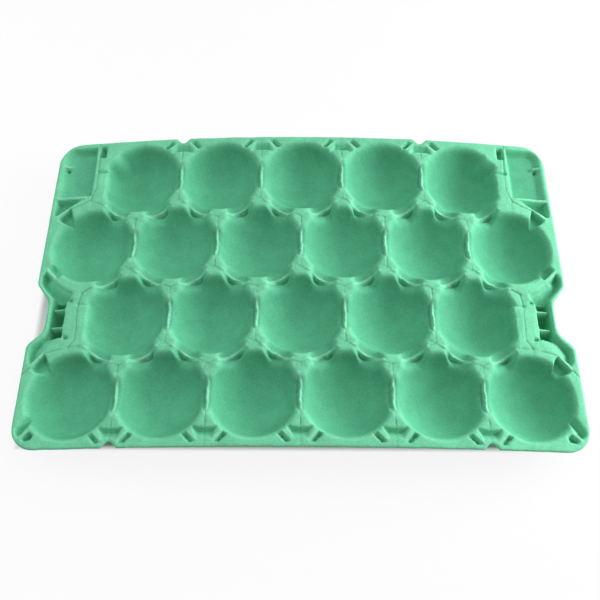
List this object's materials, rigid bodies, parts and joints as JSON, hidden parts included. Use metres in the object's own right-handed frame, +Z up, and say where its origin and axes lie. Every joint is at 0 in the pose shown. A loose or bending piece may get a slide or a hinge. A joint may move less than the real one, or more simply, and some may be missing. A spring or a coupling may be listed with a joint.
{
  "type": "pulp fruit tray",
  "caption": "Green moulded pulp fruit tray: staggered rows of round bowls, thin fins in the saddles between them, a flat rim and a finger cut-out at each end.",
  "frame": {"origin": "middle of the footprint, on the table under the feet of the outer bowls", "axes": "+X along the rows of bowls, +Y to the back rim, +Z up"},
  "size_m": [0.477, 0.31, 0.0433],
  "materials": {
    "pulp": "matte"
  },
  "bodies": {
    "root": {"pulp_tray": "pulp"}
  },
  "joints": []
}
